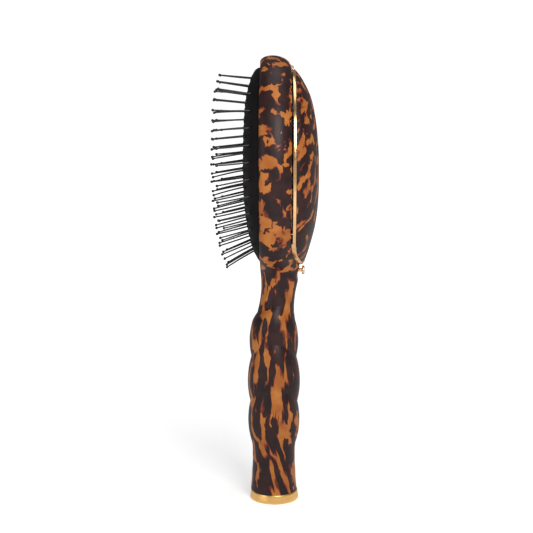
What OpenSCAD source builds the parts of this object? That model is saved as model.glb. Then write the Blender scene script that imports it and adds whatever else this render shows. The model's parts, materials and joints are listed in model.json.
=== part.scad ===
// Vanity hairbrush: a pneumatic cushion brush whose hollow back closes with a hinged, mirrored lid.
// Origin: centre of the end cap's bottom face. +Z runs up the handle to the head, -Y is the pin
// side, +Y is the lid side and X is the width. Millimetres.

/* [Head] */
// Greatest width of the head
head_w = 76; // [72:1:82]
// Height of the top of the head above the end cap's base
head_top = 235; // [233:1:238]
// Depth from the head's middle plane to the flat where the lid closes
parting_y = 8.2; // [8:0.1:8.6]
// Squareness of the oval outline (2 is an ellipse)
oval_power = 2.2; // [2:0.1:2.4]

/* [Cushion and pins] */
// How far the cushion's crown stands in front of the middle plane
crown_y = 16.5; // [15.5:0.1:17]
// Thickness of the rubber membrane
membrane = 1.7; // [1.2:0.1:2]
// Distance between neighbouring pin columns
column_pitch = 9.3; // [8.8:0.1:9.6]
// Distance between neighbouring pins in one column
row_pitch = 8.42; // [8.3:0.02:8.5]
// Free length of a pin
pin_length = 17; // [14:0.5:18]
// Diameter of a pin's stem
pin_d = 0.85; // [0.7:0.05:1.2]
// Diameter of the ball on a pin's tip
ball_d = 1.5; // [1.3:0.05:1.9]

/* [Lid] */
// How far the lid's crown stands behind the middle plane
lid_crown = 23; // [21:0.5:24]
// Wall thickness of the lid shell
lid_wall = 1.8; // [1.4:0.1:2.2]
// Depth of the metal bezel round the lid's rim
bezel_t = 1.75; // [1.5:0.05:1.9]
// Open space between the body and the closed lid
lid_gap = 0.65; // [0.4:0.05:0.8]

/* [Handle and end cap] */
// Radius of the bore that hollows the handle
handle_bore_r = 8; // [6:0.5:8.5]
// Radius of the end cap at its base
cap_r = 13; // [12.6:0.1:13.4]
// Height of the end cap
cap_h = 4.75; // [4:0.25:5.5]

/* [Button] */
// Height of the button's axis
button_z = 124.15; // [123.9:0.05:124.3]
// Diameter of the button's head
button_d = 4.7; // [4:0.1:4.9]
// Radius of the button's stem
stem_r = 0.95; // [0.7:0.05:1.1]

/* [Hidden] */

fine = 48;                  // segments of a small round feature
big = 1000;                 // larger than the brush, for cutting tools
side_points = 13;           // points along one side of a body ring
arch_points = 17;           // points along an arch of the lid or the cushion

head_mid = 181.5;           // height of the head's widest ring
head_up = head_top - head_mid;
head_down = 60;
front_round = 3.2;          // how far the head's front edge is rounded in
front_depth = 6;            // depth of that rounding
back_round = 8;             // how far the head's back edge is rounded in
back_depth = 10.4;          // depth of that rounding
back_end = asin((parting_y + 1) / back_depth);   // where the rounding meets the lid's flat

// Depth of the front and of the back of the body, at heights chosen along the brush
front_pts = [[101.5, 9.1], [108, 7.7], [114, 7.05], [120, 7.2], [128, 7.7], [150, 8], [205, 8], [228, 7.5]];
back_pts = [[101.5, 10.4], [106, 10.4], [112, 11], [116.5, 11.9], [119, 12.35], [121.7, 12.15],
            [124, 12.5], [127, 13.2]];
neck_w_pts = [[101.5, 9.8], [108, 9.6], [114, 9.9], [120, 10.8], [128, 12], [136, 13]];
// Height of the back of the lid and of the front of the cushion on the brush's middle plane
crown_pts = [[127.8, 15.4], [136, 18], [148, 21.1], [160, 22.6], [173, 23], [188, 22.6], [203, 21],
             [214, 18.5], [222, 14.7], [226, 12], [229.2, 9.1]];
dome_pts = [[128.6, 7.9], [133, 10.2], [139, 12.3], [146, 13.9], [155, 15.3], [166, 16.2], [178, 16.5],
            [190, 16.3], [203, 15.8], [212, 15], [219, 13.5], [225, 11.5], [227.6, 10.1], [228.9, 8.4]];
// Bulges of the handle: [lower waist, upper waist, radius at each waist, how far the bulge swells]
bulges = [[30.5, 53.7, 11.6, 12.55, 1.65], [53.7, 78, 12.55, 11.95, 1.7], [78, 101.5, 11.95, 9.8, 1.95]];
// How far the crease at each height climbs from the front and back to the sides
lift_pts = [[15, 0], [30.5, 6.4], [53.7, 8.9], [78, 8.8], [101.5, 4.5], [115, 0]];
// Lean of a pin, in degrees, positive towards the head's top
lean_pts = [[134, -30], [141, -22], [148, -15], [163, -13], [175, -9], [190, -6.5], [203, -2.5],
            [212, 6], [218, 9], [224, 4]];

// ---- curves ----

function place(p, z, i = 0) = (i >= len(p) - 2 || z < p[i + 1][0]) ? i : place(p, z, i + 1);
function slope(p, i) =
    i <= 0 ? (p[1][1] - p[0][1]) / (p[1][0] - p[0][0]) :
    i >= len(p) - 1 ? (p[i][1] - p[i - 1][1]) / (p[i][0] - p[i - 1][0]) :
    (p[i + 1][1] - p[i - 1][1]) / (p[i + 1][0] - p[i - 1][0]);
function hermite(a, b, ma, mb, w, t) =
    a * (1 + 2 * t) * pow(1 - t, 2) + w * ma * t * pow(1 - t, 2)
    + b * t * t * (3 - 2 * t) + w * mb * t * t * (t - 1);
// A smooth curve through the points p = [[z, value], ...], level beyond its two ends
function curve(p, z) =
    z <= p[0][0] ? p[0][1] : z >= p[len(p) - 1][0] ? p[len(p) - 1][1] :
    let (i = place(p, z), w = p[i + 1][0] - p[i][0])
    hermite(p[i][1], p[i + 1][1], slope(p, i), slope(p, i + 1), w, (z - p[i][0]) / w);
function blend(a, b, z) = let (t = min(1, max(0, (z - a) / (b - a)))) t * t * (3 - 2 * t);
function mix(a, b, t) = a * (1 - t) + b * t;

// Half-width of the head's oval at height z, d millimetres inside its greatest outline
function oval(z, d) =
    let (up = z > head_mid, l = (up ? head_up : head_down) - d, t = min(1, abs(z - head_mid) / l),
         k = up ? oval_power : 2)
    (head_w / 2 - d) * pow(1 - pow(t, k), 1 / k);
// Closed outline [x, z] of an oval from z0 to z1 with half-width w
function oval_outline(w, z0, z1, n = 64) =
    [for (i = [0 : n - 1]) let (a = 360 * (i + 0.5) / n, c = cos(a), s = sin(a), k = 2 / oval_power)
        [w * sign(c) * pow(abs(c), k), (z0 + z1) / 2 + (z1 - z0) / 2 * sign(s) * pow(abs(s), k)]];

// ---- body surface ----

ramp_top = 140;             // where the lid's flat starts to curve back over the neck
function ramp(z) = z >= ramp_top ? parting_y : parting_y + 4.4 * pow((ramp_top - z) / 12.6, 2.6);
function catch_back(z) =
    z >= ramp_top ? parting_y + lid_gap + bezel_t
    : parting_y + lid_gap + bezel_t + 4.5 * pow((ramp_top - z) / 11.3, 2.5);

function shaft_r(z) = z < 14 ? mix(12.3, 11.7, blend(4, 14, z)) : mix(11.7, 11.35, blend(14, 20, z));
function bulge_r(b, z) =
    let (u = (z - b[0]) / (b[1] - b[0])) mix(b[2], b[3], u) + b[4] * (1 - pow(2 * u - 1, 2));
function handle_r(z) =
    z < 28 ? shaft_r(z) : z < bulges[0][0] ? mix(11.35, bulges[0][2], (z - 28) / (bulges[0][0] - 28)) :
    z < bulges[1][0] ? bulge_r(bulges[0], z) : z < bulges[2][0] ? bulge_r(bulges[1], z) :
    bulge_r(bulges[2], z);

function top_turn(z, r) = z < head_top - r ? 90 : acos(1 - (head_top - z) / r);
function back_turn(z) = min(back_end, top_turn(z, back_round));
function front_y(z) =
    z < 101.5 ? handle_r(z) + 0.3 :
    z < head_top - front_round ? curve(front_pts, z)
    : 7.5 - front_depth + front_depth * sin(top_turn(z, front_round));
function back_y(z) =
    z < 101.5 ? handle_r(z) - 0.3 :
    z < 127 ? min(curve(back_pts, z), ramp(z)) :
    z < head_top - back_round ? ramp(z) : min(parting_y, back_depth * sin(top_turn(z, back_round)) - 1);
function neck_w(z) = z < 101.5 ? handle_r(z) : curve(neck_w_pts, z);
function head_share(z) = blend(119.5, 133, z);

// Half-width of the head, d inside its outline, which grows smoothly out of the neck
function head_x(s, d) =
    let (hold = max(0, neck_w(s) - d) * (1 - blend(126, 140, s)))
    pow(pow(max(0.3, oval(s, d)), 4) + pow(hold, 4), 0.25);

// One side of the ring at station s, front to back, as [x, y, z]
function neck_point(s, i) =
    let (a = 4 + 172 * i / (side_points - 1), f = front_y(s), b = back_y(s))
    [neck_w(s) * sin(a), (b - f) / 2 - (b + f) / 2 * cos(a)];
function head_point(s, i) =
    let (ft = top_turn(s, front_round), bt = back_turn(s),
         a = i < 3 ? ft * (1 - i / 3) : i < 5 ? 0 : bt * (i - 5) / 7,
         d = i < 3 ? front_round * (1 - cos(a)) : i < 5 ? 0 : back_round * (1 - cos(a)),
         side_y = s < head_top - front_round ? front_depth - front_y(s) : front_depth - 7.5,
         y = i < 3 ? mix(side_y, -front_y(s), sin(a) / sin(ft)) :
             i < 5 ? mix(side_y, -1, (i - 3) / 2) :
             (back_y(s) + 1) * sin(a) / sin(bt) - 1)
    [head_x(s, d), y];
function side_point(s, i) =
    let (m = head_share(s), n = neck_point(s, i), h = head_point(s, i),
         across = sin(180 * i / (side_points - 1)))
    [mix(n[0], h[0], m), mix(n[1], h[1], m), s + curve(lift_pts, s) * pow(across, 2)];
function body_ring(s) = concat(
    [for (i = [0 : side_points - 1]) side_point(s, i)],
    [for (i = [side_points - 1 : -1 : 0]) let (p = side_point(s, i)) [-p[0], p[1], p[2]]]);

handle_foot = cap_h + 0.05;
stations = concat(
    [handle_foot, 9, 14, 19, 24, 28],
    [for (b = bulges, k = [0 : 5]) mix(b[0], b[1], k / 6)],
    [101.5, 105, 109, 113, 116.5, 119, 121.7, 124, 126],
    [for (k = [0 : 9]) mix(127.6, 141, k / 9)],
    [for (k = [0 : 11]) mix(145, 224, k / 11)],
    [for (k = [1 : 7]) 224 + 10.9 * sin(90 * k / 7)]);

// A closed solid through a list of rings that all have the same number of points
module loft(rings) {
    n = len(rings[0]);
    m = len(rings);
    polyhedron(
        [for (r = rings, p = r) p],
        concat(
            [[for (i = [0 : n - 1]) i]],
            [for (j = [0 : m - 2], i = [0 : n - 1])
                [j * n + i, (j + 1) * n + i, (j + 1) * n + (i + 1) % n]],
            [for (j = [0 : m - 2], i = [0 : n - 1])
                [j * n + i, (j + 1) * n + (i + 1) % n, j * n + (i + 1) % n]],
            [[for (i = [n - 1 : -1 : 0]) (m - 1) * n + i]]));
}

// An outline in [x, z] made solid from depth y0 to y1
module slab(y0, y1) {
    translate([0, y1, 0]) rotate([90, 0, 0]) linear_extrude(y1 - y0) children();
}

// A box from corner a to corner b
module block(a, b) { translate(a) cube(b - a); }

// A rod of radius r along Y from y0 to y1
module rod_y(r, y0, y1) { translate([0, y0, 0]) rotate([-90, 0, 0]) cylinder(h = y1 - y0, r = r, $fn = fine); }

// ---- body pieces ----

pad_edge = 33.5;            // half-width of the opening that the cushion fills
pad_low = 128.6;
pad_high = 229.2;
tray_w = 28;
tray_low = 142;
tray_high = 219.5;
tray_floor = -2;            // depth of the tray's outer floor
tray_wall = 1;
clear = 0.3;

hinge_y = 8.55;
hinge_z = 228.5;
knuckle_r = 1.15;
hinge_pin_r = 0.5;
leaf_w = 15.6;
leaf_low = 221.6;
leaf_t = 0.8;

latch_w = 6;                // width of the pocket that the lid's hook drops into
latch_low = 129.6;
latch_high = 133.8;

module brush_body() {
    color([0.42, 0.23, 0.12])
    difference() {
        loft([for (s = stations) body_ring(s)]);
        // seat of the cushion and its air space
        slab(-9.5, -3.8) polygon(oval_outline(pad_edge, pad_low, pad_high));
        // storage compartment behind the partition
        slab(tray_floor - 0.1, 9)
            polygon(oval_outline(tray_w + 0.1, tray_low - 0.1, tray_high + 0.1));
        // hollow of the handle
        translate([0, 0, 3]) cylinder(h = 90, r = handle_bore_r, $fn = 64);
        // seat of the button's guide, and the pocket of the hook
        translate([0, 0, button_z]) rod_y(2.5, 3.4, 16);
        block([-latch_w / 2, 3.4, latch_low], [latch_w / 2, 16, latch_high]);
        // recess of the hinge's leaf and barrel
        block([-leaf_w / 2 - clear, parting_y - leaf_t - 0.05, leaf_low - clear],
              [leaf_w / 2 + clear, 14, head_top + 1]);
        translate([0, hinge_y, hinge_z]) rotate([0, 90, 0])
            cylinder(h = leaf_w + 2 * clear, r = knuckle_r + clear, center = true, $fn = fine);
    }
}

module compartment_tray() {
    color([0.16, 0.13, 0.13])
    difference() {
        slab(tray_floor, parting_y - 0.2) polygon(oval_outline(tray_w, tray_low, tray_high));
        slab(tray_floor + tray_wall, parting_y + 1)
            polygon(oval_outline(tray_w - tray_wall, tray_low + tray_wall, tray_high - tray_wall));
    }
}

// The curved metal plate that the lid's tail closes on
catch_low = 126.6;
module catch_band(inset) {
    heights = [for (k = [0 : 8]) mix(ramp_top, catch_low + 0.3, k / 8)];
    back_heights = [for (k = [0 : 8]) mix(catch_low + 2, ramp_top, k / 8)];
    rotate([90, 0, 90]) linear_extrude(head_w, center = true)
        polygon(concat([for (z = heights) [ramp(z) + inset, z]], [for (z = back_heights) [catch_back(z), z]]));
}
// Half-width of the plate at height z: it follows the lid's rim and ends a little below the lid's tip
function plate_x(z) =
    let (q = z + 1.3 * (1 - blend(catch_low, ramp_top - 2, z)), top = max(catch_back(q) + 0.05, crown(q)))
    arch_x(lid_x(q), (catch_back(q) - lid_front) / (top - lid_front));
plate_heights = [for (k = [0 : 13]) mix(catch_low + 0.2, ramp_top + 1, pow(k / 13, 1.4))];
catch_screw = [8.6, 136.6];
module catch_plate() {
    color([0.9, 0.7, 0.4])
    difference() {
        intersection() {
            catch_band(0.1);
            slab(0, 30) polygon(concat([for (z = plate_heights) [plate_x(z), z]],
                                       [for (k = [13 : -1 : 0]) [-plate_x(plate_heights[k]), plate_heights[k]]]));
        }
        block([-latch_w / 2 + 0.2, 0, latch_low + 0.2], [latch_w / 2 - 0.2, 30, latch_high - 0.2]);
        for (x = [-1, 1]) translate([x * catch_screw[0], 0, catch_screw[1]]) {
            rod_y(0.85, 5, 13);
            rod_y(1.6, parting_y + 1.4, 13);
        }
    }
}
module small_screw(head_r, head_h, shank_r, length) {
    // axis along Y, underside of the head at y = 0, cross slots in the head's top
    difference() {
        union() {
            rod_y(head_r, 0, head_h);
            rod_y(shank_r, -length, 0.01);
        }
        for (a = [0, 90]) rotate([0, a, 0]) block([-head_r * 0.62, head_h * 0.4, -0.15], [head_r * 0.62, 2, 0.15]);
    }
}
module catch_plate_screws() {
    color("silver")
    for (x = [-1, 1]) translate([x * catch_screw[0], parting_y + 1.42, catch_screw[1]])
        small_screw(1.5, 0.6, 0.8, 5);
}

// ---- hinge ----

module hinge_knuckle(x0, x1) {
    translate([x0, hinge_y, hinge_z]) rotate([0, 90, 0]) difference() {
        cylinder(h = x1 - x0, r = knuckle_r, $fn = fine);
        translate([0, 0, -1]) cylinder(h = x1 - x0 + 2, r = hinge_pin_r + 0.04, $fn = fine);
    }
}
knuckle_half = 2.8;         // half-length of the lid's knuckle, and where the body's knuckles start
leaf_screw = [4.6, 224];
module leaf(y0, top, screw_side) {
    difference() {
        block([-leaf_w / 2, y0, leaf_low], [leaf_w / 2, y0 + leaf_t, top]);
        for (x = [-1, 1]) translate([x * leaf_screw[0], 0, leaf_screw[1]]) rod_y(0.8, y0 - 1, y0 + 2);
    }
}
module hinge_body_leaf() {
    color([0.9, 0.7, 0.4]) union() {
        leaf(parting_y - leaf_t, 227.2);
        for (s = [-1, 1]) {
            hinge_knuckle(s < 0 ? -leaf_w / 2 : knuckle_half, s < 0 ? -knuckle_half : leaf_w / 2);
            // web from the leaf to the knuckle
            difference() {
                block([s < 0 ? -leaf_w / 2 : knuckle_half, parting_y - leaf_t, 227.1],
                      [s < 0 ? -knuckle_half : leaf_w / 2, parting_y, hinge_z]);
                translate([0, hinge_y, hinge_z]) rotate([0, 90, 0])
                    cylinder(h = 30, r = knuckle_r - 0.2, center = true, $fn = fine);
            }
        }
    }
}
module hinge_body_screws() {
    color("silver")
    for (x = [-1, 1]) translate([x * leaf_screw[0], parting_y + 0.01, leaf_screw[1]])
        small_screw(1.3, 0.35, 0.75, 5);
}
module hinge_pin() {
    color("silver") translate([0, hinge_y, hinge_z]) rotate([0, 90, 0])
        cylinder(h = leaf_w + 0.1, r = hinge_pin_r, center = true, $fn = fine);
}
lid_leaf_y = 9.15;
module hinge_lid_leaf() {
    color([0.9, 0.7, 0.4]) union() {
        leaf(lid_leaf_y, 227);
        hinge_knuckle(-knuckle_half + 0.12, knuckle_half - 0.12);
        difference() {
            block([-knuckle_half + 0.12, lid_leaf_y - 0.35, 226.9], [knuckle_half - 0.12, lid_leaf_y + 0.5, hinge_z]);
            translate([0, hinge_y, hinge_z]) rotate([0, 90, 0])
                cylinder(h = 30, r = knuckle_r - 0.2, center = true, $fn = fine);
        }
    }
}
module hinge_lid_screws() {
    color("silver")
    for (x = [-1, 1]) translate([x * leaf_screw[0], lid_leaf_y - 0.01, leaf_screw[1]]) rotate([180, 0, 0])
        small_screw(1.3, 0.25, 0.75, 3.6);
}

// ---- button ----

button_face = 15.8;
head_t = 1.4;
guide_in = 4.2;             // inner end of the guide
guide_out = 12;
collar_y = 7.6;             // front face of the button's collar, where the spring presses
collar_t = 0.8;
spring_r = 1.35;
spring_wire = 0.2;
module button_guide() {
    color([0.9, 0.7, 0.4]) translate([0, 0, button_z]) difference() {
        rod_y(2.46, guide_in, guide_out);
        rod_y(1.75, guide_in + 0.8, collar_y + collar_t + 0.1);
        rod_y(stem_r + 0.05, guide_in - 1, guide_out + 1);
    }
}
module push_button() {
    color([0.95, 0.75, 0.42]) translate([0, 0, button_z]) rotate([-90, 0, 0]) rotate_extrude($fn = 64)
        polygon([[0, guide_in + 1.4], [stem_r - 0.3, guide_in + 1.4], [stem_r, guide_in + 1.8], [stem_r, collar_y],
                 [1.65, collar_y], [1.65, collar_y + collar_t], [stem_r, collar_y + collar_t],
                 [stem_r, button_face - head_t], [button_d / 2 - 0.2, button_face - head_t],
                 [button_d / 2, button_face - head_t + 0.2], [button_d / 2, button_face - 0.3],
                 [button_d / 2 - 0.3, button_face], [0, button_face]]);
}
// The spring's wire is swept along a helix of four turns
spring_turns = 4;
spring_sides = 6;
spring_steps = 14 * spring_turns;
spring_low = guide_in + 0.8 + spring_wire + 0.02;
spring_high = collar_y - spring_wire - 0.02;
function wire_ring(k) =
    let (a = 360 * spring_turns * k / spring_steps, y = mix(spring_low, spring_high, k / spring_steps))
    [for (j = [0 : spring_sides - 1]) let (b = -360 * j / spring_sides, r = spring_r + spring_wire * cos(b))
        [r * cos(a), y + spring_wire * sin(b), r * sin(a)]];
module button_spring() {
    color("silver") translate([0, 0, button_z]) loft([for (k = [0 : spring_steps]) wire_ring(k)]);
}

// ---- end cap ----

cap_wall = 1.2;
module end_cap() {
    color([0.93, 0.68, 0.36]) rotate_extrude($fn = 96)
        polygon([[0, 0], [cap_r - 0.3, 0], [cap_r, 0.3], [cap_r - 0.55, cap_h - 0.35], [cap_r - 0.85, cap_h],
                 [cap_r - 0.85 - cap_wall, cap_h], [cap_r - 0.75 - cap_wall, cap_wall], [0, cap_wall]]);
}
module cap_plug() {
    color([0.2, 0.18, 0.18]) difference() {
        union() {
            translate([0, 0, cap_wall + 0.02]) cylinder(h = cap_h - cap_wall - 0.02, r = cap_r - 0.9 - cap_wall, $fn = 64);
            translate([0, 0, cap_h - 0.1]) cylinder(h = 14, r = handle_bore_r - 0.02, $fn = 64);
        }
        translate([0, 0, cap_wall + 2]) cylinder(h = 30, r = handle_bore_r - 2, $fn = 64);
    }
}

// ---- cushion and pins ----

function dome_y(z) = curve(dome_pts, z) - 16.5 + crown_y;
function pad_x(z) = let (t = min(1, abs(z - (pad_low + pad_high) / 2) / ((pad_high - pad_low) / 2 - clear)))
    (pad_edge - clear) * pow(max(0.0001, 1 - pow(t, oval_power)), 1 / oval_power);
pad_back = -6.5;            // depth of the cushion's rear edge
// Ring of a dome at height z, a little inside the cushion's skin
function dome_ring(z, inside) =
    let (w = pad_x(z) - inside, top = dome_y(z) - inside, back = inside > 0 ? 0.5 : 0)
    [for (i = [0 : arch_points - 1]) let (a = 180 * (1 - i / (arch_points - 1)))
        [w * cos(a), pad_back + back - (top + pad_back + back) * pow(sin(a), 0.75), z]];
module dome(inside, low, high) {
    loft([for (k = [0 : 26]) dome_ring(mix(low, high, (1 - cos(180 * k / 26)) / 2), inside)]);
}
module cushion_pad() {
    color([0.12, 0.12, 0.12]) difference() {
        dome(0, pad_low + clear + 0.05, pad_high - clear - 0.05);
        dome(membrane, pad_low + 4, pad_high - 4);
    }
}
// Front surface of the cushion at [x, z]
function dome_at(x, z) =
    let (w = pad_x(z), c = min(1, abs(x) / w)) pad_back - (dome_y(z) + pad_back) * pow(1 - c * c, 0.375);

// A pin with a foot under the membrane, a straight stem and a ball tip
module pin(x, z) {
    y = dome_at(x, z);
    translate([x, y, z]) rotate([90 - curve(lean_pts, z), 0, 0]) rotate([0, 0.35 * x, 0]) {
        translate([0, 0, -membrane - 1.1]) cylinder(h = 0.9, r = 1.5, $fn = 24);
        translate([0, 0, -membrane - 0.6]) cylinder(h = pin_length + membrane + 0.6 - ball_d / 2, r = pin_d / 2, $fn = 24);
        translate([0, 0, pin_length - ball_d / 2]) sphere(d = ball_d, $fn = 24);
    }
}
// Each column of pins runs at a steady share of the cushion's width, so it curves with the oval
pin_mid = 177.3;            // height of the middle row
rows_up = [5, 5.5, 5, 4.5]; // rows above the middle, from the middle column outwards
rows_down = [5, 4.5, 5, 4.5];
module pins_column(k) {
    shift = (abs(k) % 2) / 2;
    color([0.08, 0.08, 0.08])
    for (j = [-6 : 5]) let (u = j + shift, z = pin_mid + row_pitch * u)
        if (u <= rows_up[abs(k)] && -u <= rows_down[abs(k)]) pin(column_pitch * k * (pad_x(z) - 5.3) / (pad_edge - 5.3), z);
}
module pins_column_1() { pins_column(-3); }
module pins_column_2() { pins_column(-2); }
module pins_column_3() { pins_column(-1); }
module pins_column_4() { pins_column(0); }
module pins_column_5() { pins_column(1); }
module pins_column_6() { pins_column(2); }
module pins_column_7() { pins_column(3); }

// ---- lid ----

lid_low = 127.9;
lid_high = 229.1;
lid_front = parting_y + lid_gap;             // front face of the bezel
shell_front = lid_front + bezel_t + 0.02;    // front face of the moulded shell
lid_half = 33.5;
function lid_x(z) =
    let (up = z > head_mid, l = up ? lid_high - head_mid : head_mid - lid_low, t = min(1, abs(z - head_mid) / l))
    lid_half * pow(max(0.00001, 1 - pow(t, oval_power)), 1 / oval_power);
function crown(z) = curve(crown_pts, z) - 23 + lid_crown;
function lid_seat(z) = z >= ramp_top ? shell_front : catch_back(z) + 0.3;
arch_power = 2.2;
function arch_x(w, h) = w * pow(max(0, 1 - pow(h, arch_power)), 1 / arch_power);
// Ring of the lid's outer skin at height z
function shell_ring(z) =
    let (seat = lid_seat(z), top = max(seat + 0.15, crown(z)), w = lid_x(z),
         h0 = (seat - lid_front) / (top - lid_front))
    [for (i = [0 : arch_points - 1])
        let (a = 180 * i / (arch_points - 1), h = mix(h0, 1, sin(a)), x = arch_x(w, h))
        [cos(a) >= 0 ? x : -x, lid_front + (top - lid_front) * h, z]];
// Ring of the lid's hollow at height z
function hollow_ring(z) =
    let (w = lid_x(z) - lid_wall - 0.6, rise = crown(z) - lid_wall - lid_front,
         open = pow(sin(180 * (z - hollow_low) / (hollow_high - hollow_low)), 0.4))
    [for (i = [0 : arch_points - 1]) let (a = 180 * i / (arch_points - 1))
        [w * cos(a), lid_front + 0.5 + max(0.3, open) * rise * pow(sin(a), 0.8), z]];
hollow_low = 143;
hollow_high = 219;
shell_stations = concat([for (k = [0 : 7]) mix(lid_low + 0.4, 147, pow(k / 7, 1.3))],
    [for (k = [1 : 13]) mix(147, 214, k / 13)], [for (k = [1 : 8]) 214 + (lid_high - 2.1 - 214) * sin(90 * k / 8)]);
hollow_stations = [for (k = [0 : 14]) mix(hollow_low, hollow_high, (1 - cos(180 * k / 14)) / 2)];
module lid_shell() {
    color([0.42, 0.23, 0.12]) difference() {
        loft([for (z = shell_stations) shell_ring(z)]);
        loft([for (z = hollow_stations) hollow_ring(z)]);
    }
}

bezel_w = 2.4;              // width of the bezel's face
module lid_outline(inset, low = lid_low) {
    polygon([for (i = [0 : 95]) let (a = 360 * (i + 0.5) / 96, c = cos(a), s = sin(a), k = 2 / oval_power,
             l = s > 0 ? lid_high - head_mid : head_mid - low)
        [(lid_half - inset) * sign(c) * pow(abs(c), k), head_mid + (l - inset) * sign(s) * pow(abs(s), k)]]);
}
module lid_bezel() {
    color([0.9, 0.7, 0.4])
    difference() {
        slab(lid_front, lid_front + bezel_t) difference() { lid_outline(0); lid_outline(bezel_w); }
        block([-50, 0, 100], [50, 30, ramp_top + 0.6]);
        block([-leaf_w / 2 - clear, 0, leaf_low], [leaf_w / 2 + clear, lid_leaf_y + leaf_t + 0.03, 240]);
    }
}
panel_low = 146;
panel_high = 215;
panel_w = 26.5;
panel_t = 0.7;
panel_y = shell_front - panel_t;             // front face of the panel that carries the mirror
pad_t = 0.3;
glass_t = 0.7;
joint_t = 0.02;             // glue line
module mirror_backing() {
    color([0.16, 0.13, 0.13]) union() {
        slab(panel_y, shell_front - joint_t) polygon(oval_outline(panel_w + 2, panel_low - 3.5, panel_high + 3.5));
        slab(shell_front - 0.1, shell_front + 1.2)
            polygon(oval_outline(panel_w - 1, panel_low + 1.5, panel_high - 1.5));
    }
}
module mirror_pad() {
    color([0.3, 0.3, 0.3]) slab(panel_y - joint_t - pad_t, panel_y - joint_t)
        polygon(oval_outline(panel_w - 3, panel_low + 2, panel_high - 2));
}
module mirror_glass() {
    color([0.8, 0.85, 0.88]) slab(panel_y - 2 * joint_t - pad_t - glass_t, panel_y - 2 * joint_t - pad_t)
        polygon(oval_outline(panel_w - 2, panel_low + 1, panel_high - 1));
}
module mirror_frame() {
    color([0.9, 0.7, 0.4]) slab(panel_y - 0.9, panel_y - joint_t) difference() {
        polygon(oval_outline(panel_w, panel_low - 1, panel_high + 1));
        polygon(oval_outline(panel_w - 1.8, panel_low + 0.8, panel_high - 0.8));
    }
}
hook_z = 131.7;
hook_t = 0.6;
hook_half = 2.2;
module lid_hook() {
    color("silver") union() {
        block([-hook_half, 6.4, hook_z - hook_t / 2], [hook_half, 15.5, hook_z + hook_t / 2]);
        block([-hook_half, 6.4, hook_z - 1.1], [hook_half, 7.4, hook_z + hook_t / 2]);
    }
}

brush_body();
compartment_tray();
catch_plate();
catch_plate_screws();
hinge_body_leaf();
hinge_body_screws();
hinge_pin();
button_guide();
button_spring();
cap_plug();
end_cap();
cushion_pad();
pins_column_1();
pins_column_2();
pins_column_3();
pins_column_4();
pins_column_5();
pins_column_6();
pins_column_7();
lid_shell();
lid_bezel();
mirror_backing();
mirror_pad();
mirror_glass();
mirror_frame();
hinge_lid_leaf();
hinge_lid_screws();
lid_hook();
push_button();
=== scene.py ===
# %% [markdown]
# # A vanity hairbrush with a mirrored back lid
# The brush is a hollow moulding in tortoiseshell lacquer. A rubber air cushion with ball-tipped pins fills
# its front, and a domed lid on a hinge closes its back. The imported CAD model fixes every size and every
# joint, so it is loaded first and each new surface is worked out in the same frame: the origin is the centre
# of the end cap's foot, Z runs up the handle, -Y is the pin side and +Y is the lid side.

# %% Load the fixed frame
import json

import bmesh
import bpy
import numpy as np
from mathutils import Matrix


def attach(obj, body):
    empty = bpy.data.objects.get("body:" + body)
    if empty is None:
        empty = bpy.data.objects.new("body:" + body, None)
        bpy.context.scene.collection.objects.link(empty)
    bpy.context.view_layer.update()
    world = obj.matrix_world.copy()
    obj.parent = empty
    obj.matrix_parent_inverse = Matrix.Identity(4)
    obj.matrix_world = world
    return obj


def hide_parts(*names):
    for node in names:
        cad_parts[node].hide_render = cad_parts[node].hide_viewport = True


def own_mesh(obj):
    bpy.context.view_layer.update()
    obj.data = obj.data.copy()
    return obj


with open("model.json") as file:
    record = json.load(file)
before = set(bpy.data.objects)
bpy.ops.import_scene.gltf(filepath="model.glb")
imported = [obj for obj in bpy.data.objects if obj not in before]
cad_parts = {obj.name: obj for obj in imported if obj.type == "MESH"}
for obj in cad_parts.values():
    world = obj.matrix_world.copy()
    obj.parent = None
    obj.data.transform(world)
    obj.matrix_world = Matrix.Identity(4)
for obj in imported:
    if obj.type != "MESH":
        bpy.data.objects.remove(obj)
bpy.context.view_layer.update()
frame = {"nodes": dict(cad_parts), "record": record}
nodes = frame["nodes"]
MM = 0.001

# %% [markdown]
# The brush is looked at from its right side, with the camera a little above the middle and tilted down by
# about eight degrees. A long lens keeps the outline almost free of perspective. The studio is a white room:
# a pale floor, a white world and a few large soft panels, so that the satin lacquer picks up broad sheens
# instead of hard spots. Panels could be mesh emitters, but area lights converge faster.

# %% Camera and studio
tilt = np.radians(7.873)
camera_data = bpy.data.cameras.new("studio_camera")
camera_data.lens, camera_data.sensor_width = 70.58, 36.0
camera = bpy.data.objects.new("studio_camera", camera_data)
camera.matrix_world = Matrix((
    (0, -np.sin(tilt), np.cos(tilt), 0.54484),
    (1, 0, 0, -0.004234),
    (0, np.cos(tilt), np.sin(tilt), 0.20127),
    (0, 0, 0, 1)))
bpy.context.scene.collection.objects.link(camera)
bpy.context.scene.camera = camera
bpy.context.scene.view_settings.view_transform = "Standard"


def panel_light(name, place, aim, size, watts):
    """A square area light of the given side at place, turned to face the point aim."""
    light = bpy.data.lights.new(name, "AREA")
    light.shape, light.size, light.energy = "SQUARE", size, watts
    lamp = bpy.data.objects.new(name, light)
    place, aim = np.array(place), np.array(aim)
    ahead = (aim - place) / np.linalg.norm(aim - place)
    side = np.cross(ahead, (0, 0, 1))
    side /= np.linalg.norm(side)
    turn = np.eye(4)
    turn[:3, 0], turn[:3, 1], turn[:3, 2], turn[:3, 3] = side, np.cross(side, ahead), -ahead, place
    lamp.matrix_world = Matrix(turn.tolist())
    bpy.context.scene.collection.objects.link(lamp)


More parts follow.
